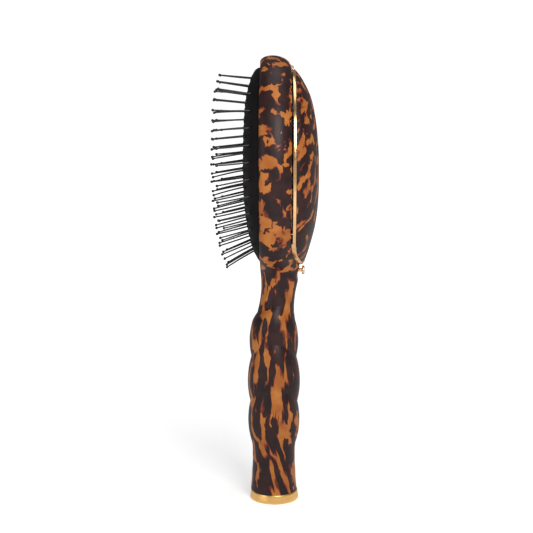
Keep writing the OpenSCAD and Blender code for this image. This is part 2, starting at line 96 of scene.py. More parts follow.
head_centre = (0, 0, 0.15)
ROOM_LIGHT, WHITE_BEHIND = 0.22, 1.05
panel_light("key_panel", (0.52, 0.19, 0.38), head_centre, 0.25, 2.1)
panel_light("pin_side_panel", (0.55, -0.75, 0.25), head_centre, 0.5, 1.4)
panel_light("top_panel", (0.10, 0.15, 0.95), head_centre, 0.6, 2.2)
world = bpy.data.worlds.new("white_studio")
world.use_nodes = True
seen = world.node_tree.nodes.new("ShaderNodeLightPath")
level = world.node_tree.nodes.new("ShaderNodeMapRange")
level.inputs["To Min"].default_value, level.inputs["To Max"].default_value = ROOM_LIGHT, WHITE_BEHIND
world.node_tree.links.new(seen.outputs["Is Camera Ray"], level.inputs[0])
world.node_tree.links.new(level.outputs[0], world.node_tree.nodes["Background"].inputs["Strength"])
world.node_tree.nodes["Background"].inputs["Color"].default_value = (1, 1, 1, 1)
bpy.context.scene.world = world
print("camera at", [round(v, 4) for v in camera.matrix_world.translation])

# %% [markdown]
# Every new piece is a closed surface made of rings: a stack of closed curves with the same number of points,
# joined ring to ring by quads and closed by a face at each end. Where a ring shrinks to a line, its doubled
# points are merged, and then the normals are turned outwards. Pockets are cut with exact Booleans, because a
# pocket's rim has to be as crisp as the moulded one.

# %% Tools that turn arrays into pieces
def keep_mesh(name, points, faces):
    """A new object from points in millimetres and faces. Doubled points are merged and normals face outwards."""
    mesh = bpy.data.meshes.new(name)
    mesh.from_pydata((np.reshape(points, (-1, 3)) * MM).tolist(), [], faces)
    work = bmesh.new()
    work.from_mesh(mesh)
    bmesh.ops.remove_doubles(work, verts=work.verts, dist=2e-7)
    bmesh.ops.recalc_face_normals(work, faces=work.faces)
    work.to_mesh(mesh)
    work.free()
    piece = bpy.data.objects.new(name, mesh)
    bpy.context.scene.collection.objects.link(piece)
    return piece


def ring_faces(rows, columns, close=True, start=0):
    """Quads between neighbouring rings of a rows by columns grid, whose rings are closed, and the two ends."""
    index = start + np.arange(rows * columns).reshape(rows, columns)
    low, high = index[:-1], index[1:]
    quads = np.stack([low, high, np.roll(high, -1, 1), np.roll(low, -1, 1)], -1).reshape(-1, 4).tolist()
    return quads + ([index[0].tolist(), index[-1].tolist()] if close else [])


def loft(name, rings):
    """A closed solid through rings, an array of rows by columns by 3."""
    return keep_mesh(name, rings, ring_faces(*rings.shape[:2]))


def spin(name, profile, steps=96, axis="Z", centre=(0, 0, 0)):
    """A turned solid: profile is [radius, height] from pole to pole, carried round the axis through centre."""
    radius, height = np.array(profile, float).T
    turn = np.linspace(0, 2 * np.pi, steps, endpoint=False)
    across, along = radius[:, None] * np.cos(turn), radius[:, None] * np.sin(turn)
    level = np.broadcast_to(height[:, None], across.shape)
    rings = np.stack([across, along, level] if axis == "Z" else [across, level, along], -1)
    return loft(name, rings + np.array(centre))


print("faces of a closed stack of 2 rings of 4 points:", len(ring_faces(2, 4)))

# %% [markdown]
# Cutting a pocket copies the result into the piece's own mesh, so no modifier is left behind. Finishing a
# piece sets its material, its body and the CAD nodes that it takes the place of.

# %% Tools that cut and finish pieces
def cut(piece, *tools):
    """Takes the tools away from the piece with exact Booleans and removes them."""
    for tool in tools:
        step = piece.modifiers.new("pocket", "BOOLEAN")
        step.operation, step.solver, step.object = "DIFFERENCE", "EXACT", tool
    shape = piece.evaluated_get(bpy.context.evaluated_depsgraph_get())
    mesh = bpy.data.meshes.new_from_object(shape)
    piece.modifiers.clear()
    piece.data = mesh
    for tool in tools:
        bpy.data.objects.remove(tool)
    return piece


def smooth(piece, degrees=30):
    """Smooth shading, with an edge kept sharp where its faces turn by more than the angle."""
    mesh = piece.data
    mesh.polygons.foreach_set("use_smooth", np.ones(len(mesh.polygons), bool))
    mesh.set_sharp_from_angle(angle=np.radians(degrees))
    return piece


def finish_piece(piece, material, body, slot, *stands_for):
    """Gives a piece its material and body, and hides the CAD nodes that it stands for. slot is not used."""
    piece.data.materials.clear()
    piece.data.materials.append(material)
    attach(piece, body)
    if stands_for:
        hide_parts(*stands_for)
    print(piece.name, "faces:", len(piece.data.polygons), "on", body)
    return piece


# %% [markdown]
# Profiles are smooth curves through a few [height, value] points, the same ones as in the CAD source. Ovals are
# superellipses, a little fuller than an ellipse, as a moulded brush head is.

# %% Curves
def curve(points, z):
    """Value at z of a cubic through neighbouring points with central-difference slopes, level past the ends."""
    at, value = np.array(points, float).T
    slope = np.empty_like(value)
    slope[1:-1] = (value[2:] - value[:-2]) / (at[2:] - at[:-2])
    slope[0], slope[-1] = (value[1] - value[0]) / (at[1] - at[0]), (value[-1] - value[-2]) / (at[-1] - at[-2])
    z = np.clip(z, at[0], at[-1])
    i = np.clip(np.searchsorted(at, z, side="right") - 1, 0, len(at) - 2)
    w = at[i + 1] - at[i]
    t = (z - at[i]) / w
    return (value[i] * (1 + 2 * t) * (1 - t) ** 2 + w * slope[i] * t * (1 - t) ** 2
            + value[i + 1] * t * t * (3 - 2 * t) + w * slope[i + 1] * t * t * (t - 1))


def blend(low, high, z):
    """Smooth step from 0 at low to 1 at high."""
    t = np.clip((z - low) / (high - low), 0, 1)
    return t * t * (3 - 2 * t)


def mix(a, b, t):
    """Straight blend from a to b."""
    return a * (1 - t) + b * t


def superellipse(half_x, low, high, count=96, power=2.2):
    """Closed outline [x, z]: each coordinate is the signed 2/power root of a cosine or sine."""
    turn = 2 * np.pi * (np.arange(count) + 0.5) / count
    c, s = np.cos(turn), np.sin(turn)
    return np.stack([half_x * np.sign(c) * np.abs(c) ** (2 / power),
                     (low + high) / 2 + (high - low) / 2 * np.sign(s) * np.abs(s) ** (2 / power)], -1)


def prism(name, outline, front, back):
    """A solid with a straight wall along Y over a closed [x, z] outline."""
    x, z = np.array(outline, float).T
    return loft(name, np.stack([np.stack([x, np.full_like(x, y), z], -1) for y in (front, back)]))


def box_outline(x0, x1, z0, z1):
    """The four corners of a rectangle in [x, z]."""
    return [[x0, z0], [x1, z0], [x1, z1], [x0, z1]]


print("superellipse corner points:", superellipse(1, -1, 1)[[0, 24]].round(2).tolist())

# %% [markdown]
# ## The moulded body
# Handle, neck and head are one moulding. Each of its rings is a blend of two shapes: a rounded section on the
# handle and neck, and a flat-faced section with rounded corners on the head. On the handle the rings are not
# level: their sides climb, so the grooves between the three grip swells arch up over the flanks. The swells
# are parabolas on straight tapers, and averaging each radius over a short height rounds the grooves.

# %% Body profiles
HEAD_TOP, HEAD_MID, HEAD_HALF, PARTING = 235.0, 181.5, 38.0, 8.2
HEAD_UP, HEAD_DOWN, OVAL = 53.5, 60.0, 2.2
FRONT_ROUND, FRONT_DEPTH, BACK_ROUND, BACK_DEPTH = 3.2, 6.0, 8.0, 10.4
front_points = [[101.5, 9.1], [108, 7.7], [114, 7.05], [120, 7.2], [128, 7.7], [150, 8], [205, 8], [228, 7.5]]
back_points = [[101.5, 10.4], [106, 10.4], [112, 11], [116.5, 11.9], [119, 12.35], [121.7, 12.15],
               [124, 12.5], [127, 13.2]]
flank_points = [[101.5, 10.4], [106, 10.4], [112, 11], [117, 11.6], [122, 12.1], [127, 12.96]]
neck_points = [[101.5, 9.8], [108, 9.6], [114, 9.9], [120, 10.8], [128, 12], [136, 13]]
swells = [[30.5, 53.7, 11.6, 12.55, 1.65], [53.7, 78, 12.55, 11.95, 1.7], [78, 101.5, 11.95, 9.8, 1.95]]
climb_points = [[15, 0], [30.5, 6.4], [53.7, 8.9], [78, 8.8], [101.5, 4.5], [115, 0]]


def grip_radius(z):
    """Radius of the handle: a tapering foot, then three parabolic swells, each on its own straight taper."""
    radius = np.where(z < 14, mix(12.3, 11.7, blend(4, 14, z)), mix(11.7, 11.35, blend(14, 20, z)))
    radius = np.where(z > 28, mix(11.35, 11.6, (z - 28) / 2.5), radius)
    for low, high, at_low, at_high, swell in swells:
        u = (z - low) / (high - low)
        radius = np.where(z > low, mix(at_low, at_high, u) + swell * (1 - (2 * u - 1) ** 2), radius)
    return radius


def handle_radius(z):
    """The grip radius averaged over a millimetre of height, which rounds the grooves."""
    z = np.minimum(z, 100.9)
    return sum(grip_radius(z + step) for step in np.linspace(-0.55, 0.55, 7)) / 7


print("grip radius at 20, 66 and 90 mm:", handle_radius(np.array([20.0, 66.0, 90.0])).round(2))

# %% [markdown]
# The head's depth has a rounded top and a flat back for the lid. Below the head that flat sweeps back over
# the neck, and the outline of the head is an oval that runs smoothly into the neck.

# %% Depths and outline of the head
def lid_ramp(z):
    """Depth of the flat that the lid closes on: level on the head, swept back over the neck by a power law."""
    return PARTING + np.where(z < 140, 4.4 * (np.maximum(140 - z, 0) / 12.6) ** 2.6, 0)


def top_turn(z, radius):
    """Angle left of a quarter-turn rounding of the given radius at the very top of the head."""
    return np.where(z < HEAD_TOP - radius, np.pi / 2, np.arccos(np.clip(1 - (HEAD_TOP - z) / radius, -1, 1)))


def front_depth(z):
    """How far the body reaches towards the pins."""
    step = np.clip((z - 97.6) / 3.9, 0, 1)
    grip = handle_radius(z) + 0.3 - step
    neck = np.where(z < HEAD_TOP - FRONT_ROUND, curve(front_points, z),
                    7.5 - FRONT_DEPTH + FRONT_DEPTH * np.sin(top_turn(z, FRONT_ROUND)))
    return np.where(z < 101.5, grip, neck)


def back_depth(z):
    """How far the body reaches towards the lid."""
    step = np.clip((z - 97.6) / 3.9, 0, 1)
    grip = handle_radius(z) - 0.3 + 0.9 * step
    neck = np.minimum(curve(back_points, z), lid_ramp(z))
    top = np.minimum(PARTING, BACK_DEPTH * np.sin(top_turn(z, BACK_ROUND)) - 1)
    return np.where(z < 101.5, grip, np.where(z < 127, neck, np.where(z < HEAD_TOP - BACK_ROUND, lid_ramp(z), top)))


def head_oval(z, inset):
    """Half-width of the head's oval at height z, inset millimetres inside it, joined smoothly to the neck's width."""
    up = z > HEAD_MID
    t = np.minimum(1, np.abs(z - HEAD_MID) / (np.where(up, HEAD_UP, HEAD_DOWN) - inset))
    power = np.where(up, OVAL, 2.0)
    oval = np.maximum(0.3, (HEAD_HALF - inset) * (1 - t ** power) ** (1 / power))
    hold = np.maximum(0, curve(neck_points, z) - inset) * (1 - blend(126, 140, z))
    return (oval ** 4 + hold ** 4) ** 0.25


print("head half-width at 130 and 181.5 mm:", head_oval(np.array([130.0, 181.5]), 0).round(2))

# %% [markdown]
# The skin is a closed loft with many rings, so the grooves between the swells stay smooth. Half a ring is
# worked out and mirrored. A moulding tool would be cut from the same half profile, turned over.

# %% Body skin
def body_side(s, i):
    """Right half of the ring at station s, as x, y, z. The section index i runs from 0 in front to 12 at the back."""
    front = front_depth(s)
    boss = np.exp(-((12 - i) / 1.8) ** 2)           # the button's boss stands only in the middle of the back
    back = mix(np.where((s > 106) & (s < 127), curve(flank_points, s), back_depth(s)), back_depth(s), boss)
    around = np.radians(4 + 172 * i / 12)
    neck_x = np.where(s < 101.5, handle_radius(s), curve(neck_points, s)) * np.sin(around)
    neck_y = (back - front) / 2 - (back + front) / 2 * np.cos(around)
    front_turn = top_turn(s, FRONT_ROUND)
    back_turn = np.minimum(np.arcsin((PARTING + 1) / BACK_DEPTH), top_turn(s, BACK_ROUND))
    corner = np.where(i < 3, front_turn * (1 - i / 3), np.where(i < 5, 0, back_turn * (i - 5) / 7))
    inset = np.where(i < 3, FRONT_ROUND, BACK_ROUND) * (1 - np.cos(corner)) * np.where((i >= 3) & (i < 5), 0, 1)
    flank = np.where(s < HEAD_TOP - FRONT_ROUND, FRONT_DEPTH - front, FRONT_DEPTH - 7.5)
    head_y = np.where(i < 3, mix(flank, -front, np.sin(corner) / np.sin(front_turn)),
                      np.where(i < 5, mix(flank, -1, (i - 3) / 2),
                               (back + 1) * np.sin(corner) / np.sin(back_turn) - 1))
    share = blend(119.5, 133, s)
    x, y = mix(neck_x, head_oval(s, inset), share), mix(neck_y, head_y, share)
    return np.stack(np.broadcast_arrays(x, y, s + curve(climb_points, s) * np.sin(np.pi * i / 12) ** 2), -1)


stations = np.concatenate([np.linspace(4.8, 30, 26), np.linspace(30.5, 101.5, 100), np.linspace(102.5, 126.5, 30),
                           np.linspace(127, 142, 24), np.linspace(144, 224, 36),
                           224 + 10.97 * np.sin(np.linspace(0.06, np.pi / 2, 26))])[:, None]
index = np.concatenate([np.linspace(0, 3, 10), np.linspace(3.4, 4.6, 3), np.linspace(5, 12, 30)])[None, :]
right = body_side(stations, index)
body = loft("body_moulding", np.concatenate([right, right[:, ::-1] * (-1, 1, 1)], 1))
print("body rings:", right.shape[0], "points a ring:", 2 * right.shape[1])

# %% [markdown]
# Five pockets are cut into the skin: the cushion's seat, the storage compartment, the button's bore, the slot
# that takes the lid's hook, and the recess of the hinge.

# %% Pockets in the body
PAD_HALF, PAD_LOW, PAD_HIGH = 33.5, 128.6, 229.2
TRAY_HALF, TRAY_LOW, TRAY_HIGH, TRAY_FLOOR = 28.0, 142.0, 219.5, -2.0
BUTTON_Z, HINGE_Y, HINGE_Z, LEAF_HALF = 124.15, 8.55, 228.5, 7.8


def rod_outline(radius, z, count=48):
    """A circle in [x, z] round the middle plane."""
    turn = np.linspace(0, 2 * np.pi, count, endpoint=False)
    return np.stack([radius * np.cos(turn), z + radius * np.sin(turn)], -1)


barrel_turn = np.linspace(0, 2 * np.pi, 48, endpoint=False)
barrel = np.stack([np.stack([np.full(48, x), HINGE_Y + 1.45 * np.cos(barrel_turn),
                             HINGE_Z + 1.45 * np.sin(barrel_turn)], -1) for x in (-8.1, 8.1)])
body = cut(body,
           prism("seat", superellipse(PAD_HALF, PAD_LOW, PAD_HIGH, 160), -12, -3.8),
           prism("compartment", superellipse(TRAY_HALF + 0.1, TRAY_LOW - 0.1, TRAY_HIGH + 0.1, 128),
                 TRAY_FLOOR - 0.1, 12),
           prism("button_bore", rod_outline(2.5, BUTTON_Z), 3.4, 16),
           prism("hook_slot", box_outline(-3, 3, 129.6, 133.8), 3.4, 16),
           prism("hinge_recess", box_outline(-8.1, 8.1, 221.3, 240), 7.35, 14),
           loft("hinge_barrel", barrel))
smooth(body, 28)
print("body faces after the pockets:", len(body.data.polygons))

# %% [markdown]
# ## The lid
# From the side the lid is a long low dome that meets the flat of the head. Every ring across it is half of a
# superellipse, wide at the rim and as high as the crown's profile. Near the neck the rim is lifted, so that
# the lid's tail rests on the curved catch plate. The hollow inside is a second, lower dome, taken away.

# %% Lid shell
LID_LOW, LID_HIGH, LID_HALF, LID_FRONT, SHELL_FRONT = 127.9, 229.1, 33.5, 8.85, 10.62
crown_points = [[127.8, 15.4], [136, 18], [148, 21.1], [160, 22.6], [173, 23], [188, 22.6], [203, 21],
                [214, 18.5], [222, 14.7], [226, 12], [229.2, 9.1]]


def lid_half(z):
    """Half-width of the lid's rim at height z."""
    reach = np.where(z > HEAD_MID, LID_HIGH - HEAD_MID, HEAD_MID - LID_LOW)
    t = np.minimum(1, np.abs(z - HEAD_MID) / reach)
    return LID_HALF * np.maximum(1e-5, 1 - t ** OVAL) ** (1 / OVAL)


def plate_back(z):
    """Depth of the catch plate's outer face: level, then swept back by a power law like the ramp below it."""
    return 10.6 + np.where(z < 140, 4.5 * (np.maximum(140 - z, 0) / 11.3) ** 2.5, 0)


def arch_half(width, rise):
    """Half-width of a superellipse arch at a share rise of its height."""
    return width * np.maximum(0, 1 - rise ** OVAL) ** (1 / OVAL)


def lid_ring(z, turn):
    """Point of the lid's outer skin: the share of the arch's height goes with the sine of the turn."""
    seat = np.where(z >= 140, SHELL_FRONT, plate_back(z) + 0.3)
    top = np.maximum(seat + 0.15, curve(crown_points, z))
    rise = mix((seat - LID_FRONT) / (top - LID_FRONT), 1, np.sin(turn))
    x = arch_half(lid_half(z), rise) * np.sign(np.cos(turn))
    return np.stack(np.broadcast_arrays(x, LID_FRONT + (top - LID_FRONT) * rise, z + 0 * turn), -1)


def hollow_ring(z, turn):
    """Point of the lid's hollow: a flatter arch whose height fades to nothing at both ends."""
    swell = np.maximum(0.3, np.maximum(0, np.sin(np.pi * (z - 143) / 76)) ** 0.4)
    rise = curve(crown_points, z) - 1.8 - LID_FRONT
    return np.stack(np.broadcast_arrays((lid_half(z) - 2.4) * np.cos(turn),
                                        LID_FRONT + 0.5 + swell * rise * np.abs(np.sin(turn)) ** 0.8, z + 0 * turn), -1)


arch = np.linspace(0, np.pi, 97)[None, :]
lid_rows = np.concatenate([128.3 + 18.7 * np.linspace(0, 1, 30) ** 1.3, np.linspace(149, 212, 28),
                           214 + 13 * np.sin(np.linspace(0, np.pi / 2, 22))])[:, None]
hollow_rows = (143 + 38 * (1 - np.cos(np.linspace(0, np.pi, 40))))[:, None]
lid = loft("lid_shell_skin", lid_ring(lid_rows, arch))
lid = cut(lid, loft("hollow", hollow_ring(hollow_rows, arch[:, ::2])))
smooth(lid, 28)
print("lid faces:", len(lid.data.polygons))

# %% [markdown]
# ## Gold trim
# A polished metal bezel edges the lid's rim. It is a rounded bar bent round the outline, so it is made by
# carrying a rounded rectangle along the outline, leaning with the dome where the dome is low. The lid's tail
# closes on a curved plate fixed to the body. Both have real radii on their edges, because polished metal
# shows its shape by the thin highlights that run along them.

# %% Bezel and catch plate
def rounded_bar(width, depth, radius, corner=5):
    """Closed profile of a rectangle from 0,0 to width,depth with quarter-circle corners, as [u, v]."""
    turn = np.linspace(0, np.pi / 2, corner)
    centres = [(width - radius, depth - radius), (radius, depth - radius), (radius, radius), (width - radius, radius)]
    quarters = [turn + k * np.pi / 2 for k in range(4)]
    return np.concatenate([np.stack([cx + radius * np.cos(a), cy + radius * np.sin(a)], -1)
                           for a, (cx, cy) in zip(quarters, centres)])


def rim_band(half, low, high, turns, bar, place):
    """A bar profile carried along a superellipse: u runs inwards from the outline, v along Y from place."""
    turn = np.asarray(turns)[:, None]
    c, s = np.cos(turn), np.sin(turn)
    u, v = bar[None, :, 0], bar[None, :, 1]
    mid, reach = (low + high) / 2, (high - low) / 2
    x = (half - u) * np.sign(c) * np.abs(c) ** (2 / OVAL)
    z = mid + (reach - u) * np.sign(s) * np.abs(s) ** (2 / OVAL)
    return np.stack(np.broadcast_arrays(x, place + v, z), -1)


bar = rounded_bar(2.4, 1.75, 0.32)
turns = np.linspace(-0.5 * np.pi, 1.5 * np.pi, 721)
rim_z = np.where(np.sin(turns) > 0, HEAD_MID + (LID_HIGH - HEAD_MID) * np.abs(np.sin(turns)) ** (2 / OVAL),
                 HEAD_MID - (HEAD_MID - LID_LOW) * np.abs(np.sin(turns)) ** (2 / OVAL))
kept = turns[rim_z > 140.3]
upper = rim_band(LID_HALF, 2 * HEAD_MID - LID_HIGH, LID_HIGH, kept, bar, LID_FRONT)
lower = rim_band(LID_HALF, LID_LOW, 2 * HEAD_MID - LID_LOW, kept, bar, LID_FRONT)
band = np.where((np.sin(kept) > 0)[:, None, None], upper, lower)
ceiling = np.clip(curve(crown_points, band[:, :, 2]) - LID_FRONT - 0.05, 0.25, 1.75)
band[:, :, 1] = LID_FRONT + (band[:, :, 1] - LID_FRONT) * ceiling / 1.75
lean = np.clip((band[:, :, 1] - LID_FRONT) / (curve(crown_points, band[:, :, 2]) - LID_FRONT), 0, 0.9)
band[:, :, 0] *= (1 - lean ** OVAL) ** (1 / OVAL)
bezel = cut(loft("lid_rim_bezel", band), prism("hinge_notch", box_outline(-8.1, 8.1, 221.6, 240), 0, 9.98))
smooth(bezel, 32)


def plate_half(z):
    """Half-width of the catch plate: the lid's rim at the same depth, carried a little below the lid's tip."""
    q = z + 1.3 * (1 - blend(126.6, 138, z))
    top = np.maximum(plate_back(q) + 0.05, curve(crown_points, q))
    return arch_half(lid_half(q), (plate_back(q) - LID_FRONT) / (top - LID_FRONT))


along = (np.linspace(0, 1, 44) ** 1.4)[:, None]
section = rounded_bar(2.0, 1.0, 0.14, 7)
share_x, share_y = section[None, :, 0] - 1.0, section[None, :, 1]
front_z, back_z = mix(126.9, 140.45, along), mix(128.7, 140.45, along)
plate_z = mix(front_z, back_z, share_y)
plate_y = mix(lid_ramp(front_z) + 0.1, plate_back(back_z), share_y)
wide = np.maximum(0.3, plate_half(plate_z))
plate_x = np.sign(share_x) * (wide - np.minimum(wide, 1.75) * (1 - np.abs(share_x)))
plate = cut(loft("catch_plate_formed", np.stack(np.broadcast_arrays(plate_x, plate_y, plate_z), -1)),
            prism("slot", box_outline(-2.8, 2.8, 129.8, 133.6), 0, 30),
            *[prism("screw_hole", rod_outline(1.6, 136.6, 32) + (x, 0), 9.6, 14) for x in (-8.6, 8.6)])
smooth(plate, 32)
print("bezel faces:", len(bezel.data.polygons), "plate faces:", len(plate.data.polygons))

# %% [markdown]
# ## The cushion
# A pneumatic brush has a thin rubber dome with air behind it. The dome is a half-superellipse across and
# follows the crown's profile along, and each pin comes out of a small moulded lip. The lips are rings of
# height added to the dome: a bell curve of the distance from each pin, less a dimple at the pin itself.
# On the real brush the rim stays fixed when the dome is pressed, and the dome flattens towards its rim as the pins
# sink; here the dome is made at rest.

# %% Cushion dome and pin places
dome_points = [[128.6, 7.9], [133, 10.2], [139, 12.3], [146, 13.9], [155, 15.3], [166, 16.2], [178, 16.5],
               [190, 16.3], [203, 15.8], [212, 15], [219, 13.5], [225, 11.5], [227.6, 10.1], [228.9, 8.4]]
lean_points = [[134, -30], [141, -22], [148, -15], [163, -13], [175, -9], [190, -6.5], [203, -2.5],
               [212, 6], [218, 9], [224, 4]]
PAD_BACK, PAD_MIDDLE, PIN_LENGTH, BALL = -6.5, 179.0, 17.0, 0.75


def pad_half(z):
    """Half-width of the cushion at height z."""
    t = np.minimum(1, np.abs(z - 178.9) / 50)
    return 33.2 * np.maximum(1e-4, 1 - t ** OVAL) ** (1 / OVAL)


def dome_front(x, z):
    """Depth of the dome's face at x, z."""
    c = np.minimum(1, np.abs(x) / pad_half(z))
    return PAD_BACK - (curve(dome_points, z) + PAD_BACK) * (1 - c * c) ** 0.375


pin_places = []
for column in range(-3, 4):
    u = np.arange(-6, 6) + (abs(column) % 2) / 2
    up, down = [(5, 5), (5.5, 4.5), (5, 5), (4.5, 4.5)][abs(column)]
    z = 177.3 + 8.42 * u[(u <= up) & (-u <= down)]
    x = 9.3 * column * (pad_half(z) - 5.3) / 28.2
    pin_places.append(np.stack([x, dome_front(x, z), z], -1))
pins_at = np.concatenate(pin_places)

dome_z = (128.96 + 99.88 * (1 - np.cos(np.linspace(0, np.pi, 220))) / 2)[:, None]
dome_turn = np.linspace(np.pi, 0, 171)[None, :]
x = pad_half(dome_z) * np.cos(dome_turn)
y = PAD_BACK - (curve(dome_points, dome_z) + PAD_BACK) * np.abs(np.sin(dome_turn)) ** 0.75
away = np.sqrt((x[..., None] - pins_at[:, 0]) ** 2 + (dome_z[..., None] - pins_at[:, 2]) ** 2)
lips = (0.28 * np.exp(-((away - 1.25) / 0.45) ** 2) - 0.35 * np.exp(-(away / 0.75) ** 2)).sum(-1)
cushion = loft("air_cushion", np.stack(np.broadcast_arrays(x, y - lips * np.sin(dome_turn) ** 0.5, dome_z), -1))
smooth(cushion, 40)
print("pins:", len(pins_at))

# %% [markdown]
# ## The pins
# Each pin is a nylon rod that tapers slightly and ends in a ball, which slides over the scalp. Pins fan out
# sideways with the dome and lean up or down along the head. After some use none is quite straight, so each
# gets its own small bend from a seeded generator. A whole column is one array: pins by rings by sides.

# %% Pin columns
chance = np.random.default_rng(7)
ball_turn = np.linspace(0.5, np.pi, 7)
pin_along = np.concatenate([[-2.2, -0.2, 2.5, 5.5, 8.5, 11.5, 14.0, PIN_LENGTH - 1.7],
                            PIN_LENGTH - BALL - BALL * np.cos(ball_turn)])
pin_radius = np.concatenate([np.linspace(0.46, 0.37, 8), BALL * np.sin(ball_turn)])
pin_radius[-1] = 0.02


def pin_column(name, places):
    """Rods along leaning, gently bent axes: offset grows with the square of the way along; rings lie across."""
    lean_up = np.radians(curve(lean_points, places[:, 2]) + chance.normal(0, 0.7, len(places)))
    fan = np.radians(0.35 * places[:, 0] + chance.normal(0, 0.7, len(places)))
    axis = np.stack([np.sin(fan), -np.cos(fan) * np.cos(lean_up), np.cos(fan) * np.sin(lean_up)], -1)
    side = np.cross(axis, (0, 0, 1.0))
    side /= np.linalg.norm(side, axis=1, keepdims=True)
    over = np.cross(side, axis)
    bend = chance.normal(0, 0.45, (len(places), 2))
    amount = (np.clip(pin_along, 0, None) / PIN_LENGTH) ** 2
    middle = (places[:, None] + pin_along[None, :, None] * axis[:, None]
              + amount[None, :, None] * (bend[:, :1, None] * side[:, None] + bend[:, 1:, None] * over[:, None]))
    turn = np.linspace(0, 2 * np.pi, 10, endpoint=False)
    ring = (np.cos(turn)[None, None, :, None] * side[:, None, None]
            + np.sin(turn)[None, None, :, None] * over[:, None, None])
    points = middle[:, :, None] + pin_radius[None, :, None, None] * ring
    rows = len(pin_along)
    faces = [face for k in range(len(places)) for face in ring_faces(rows, 10, start=k * rows * 10)]
    return smooth(keep_mesh(name, points, faces), 50)


columns = [pin_column(f"pin_column_{k + 1}", places) for k, places in enumerate(pin_places)]
print("pins in each column:", [len(places) for places in pin_places])

# %% [markdown]
# ## Small metal parts
# The end cap is turned from a rod: a flat foot, a wall that closes in slightly towards the top, and a bright
# chamfer on its top edge. The push button is a round head on a thin stem. Both are spun profiles.

# %% End cap and button
cap_profile = [[0, 0], [12.4, 0], [12.72, 0.06], [12.93, 0.22], [13.0, 0.45], [12.8, 1.9], [12.52, 3.9],
               [12.44, 4.42], [12.34, 4.62], [12.16, 4.74], [11.9, 4.75], [11.0, 4.75], [11.0, 3.2], [0, 3.2]]
cap = spin("end_cap_turned", cap_profile, 160)
smooth(cap, 40)
button_profile = [[0, 5.6], [0.65, 5.6], [0.95, 6.0], [0.95, 7.6], [1.65, 7.6], [1.65, 8.4], [0.95, 8.4],
                  [0.95, 14.4], [2.1, 14.4], [2.25, 14.45], [2.33, 14.58], [2.35, 14.8], [2.35, 15.35],
                  [2.3, 15.6], [2.16, 15.74], [1.95, 15.8], [0, 15.8]]
button = spin("button_head", button_profile, 64, "Y", (0, 0, BUTTON_Z))
smooth(button, 40)
print("cap width and height in mm:", 2 * np.max(cap_profile, 0)[0], np.max(cap_profile, 0)[1])

# %% [markdown]
# The button returns on a short coil of steel wire, held between the guide's floor and the button's collar. The wire's
# round section is swept along a helix. On the brush the coil shortens towards the guide as the button goes in; here it
# is made at one length.

# %% Return spring
SPRING_LOW, SPRING_HIGH, COIL_RADIUS, WIRE_RADIUS, COILS = 5.22, 7.38, 1.35, 0.2, 4
coil_share = np.linspace(0, 1, 24 * COILS + 1)[:, None]
coil_turn = 2 * np.pi * COILS * coil_share
wire_turn = np.linspace(0, 2 * np.pi, 8, endpoint=False)[None, :]
coil_reach = COIL_RADIUS + WIRE_RADIUS * np.cos(wire_turn)
coil = np.stack(np.broadcast_arrays(
    coil_reach * np.cos(coil_turn),
    mix(SPRING_LOW, SPRING_HIGH, coil_share) + WIRE_RADIUS * np.sin(wire_turn),
    BUTTON_Z + coil_reach * np.sin(coil_turn)), -1)
spring = smooth(loft("return_spring_coil", coil), 60)
print("spring length in mm:", SPRING_HIGH - SPRING_LOW + 2 * WIRE_RADIUS)

# %% [markdown]
# ## Inside the compartment
# The tray is a thin moulded liner with a rounded floor edge, and the mirror sits in a slim gold frame. Both
# repeat the oval outline of the head, so both are bands or lofts on the same superellipse.

# %% Tray and mirror frame
def tray_rings(levels):
    """Rings of the tray: each level gives an inset from the outline and a depth."""
    rings = []
    for inset, depth in levels:
        outline = superellipse(TRAY_HALF - inset, TRAY_LOW + inset, TRAY_HIGH - inset, 128)
        rings.append(np.stack([outline[:, 0], np.full(128, depth), outline[:, 1]], -1))
    return np.stack(rings)


rim_turn = np.linspace(0, np.pi / 2, 6)
tray_levels = ([[0.6, -2.0], [0, -1.4], [0, 7.7]]
               + [[0.5 - 0.5 * np.cos(a), 7.7 + 0.3 * np.sin(a)] for a in rim_turn[1:]] + [[1.0, 7.7]]
               + [[1 + 1.6 * (1 - np.cos(a)), 0.6 - 1.6 * np.sin(a)] for a in rim_turn])
tray = smooth(loft("tray_liner_moulded", tray_rings(tray_levels)), 35)
frame_turns = np.linspace(0, 2 * np.pi, 241)[:-1] + 0.01
frame_bar = rounded_bar(1.8, 0.88, 0.3)
rim = rim_band(26.5, 145, 216, frame_turns, frame_bar, 9.02)
rows, sides = rim.shape[:2]
first, last = np.arange(sides), np.arange(sides) + (rows - 1) * sides
closing = np.stack([last, first, np.roll(first, -1), np.roll(last, -1)], -1).tolist()
mirror_rim = smooth(keep_mesh("mirror_rim", rim, ring_faces(rows, sides, close=False) + closing), 35)
print("tray rings:", len(tray_levels), "mirror rim points:", rows * sides)

# %% [markdown]
# ## Finishes
# Three effects are shared by several finishes, so each is a node group. "Blotches" makes the cloudy field
# behind the tortoiseshell: smooth Voronoi cells and a noise, looked up at places pushed about by another
# noise, so that the level lines curl. "Tortoiseshell colour" turns the field into amber lakes between dark
# islands, with a thin red-brown shore where the amber is shallow. "Fine grain" gives a height and a small
# change of roughness.

# %% Node helpers
def add(tree, kind, inputs=(), **settings):
    """Adds a node, sets its properties, and gives each named or numbered input a value or a link."""
    node = tree.nodes.new("ShaderNode" + kind)
    for key, value in settings.items():
        setattr(node, key, value)
    for key, value in dict(inputs).items():
        if isinstance(value, bpy.types.NodeSocket):
            tree.links.new(value, node.inputs[key])
        else:
            node.inputs[key].default_value = value
    return node


def maths(tree, operation, *values, clamp=False):
    """A Math node's result."""
    return add(tree, "Math", dict(enumerate(values)), operation=operation, use_clamp=clamp).outputs[0]


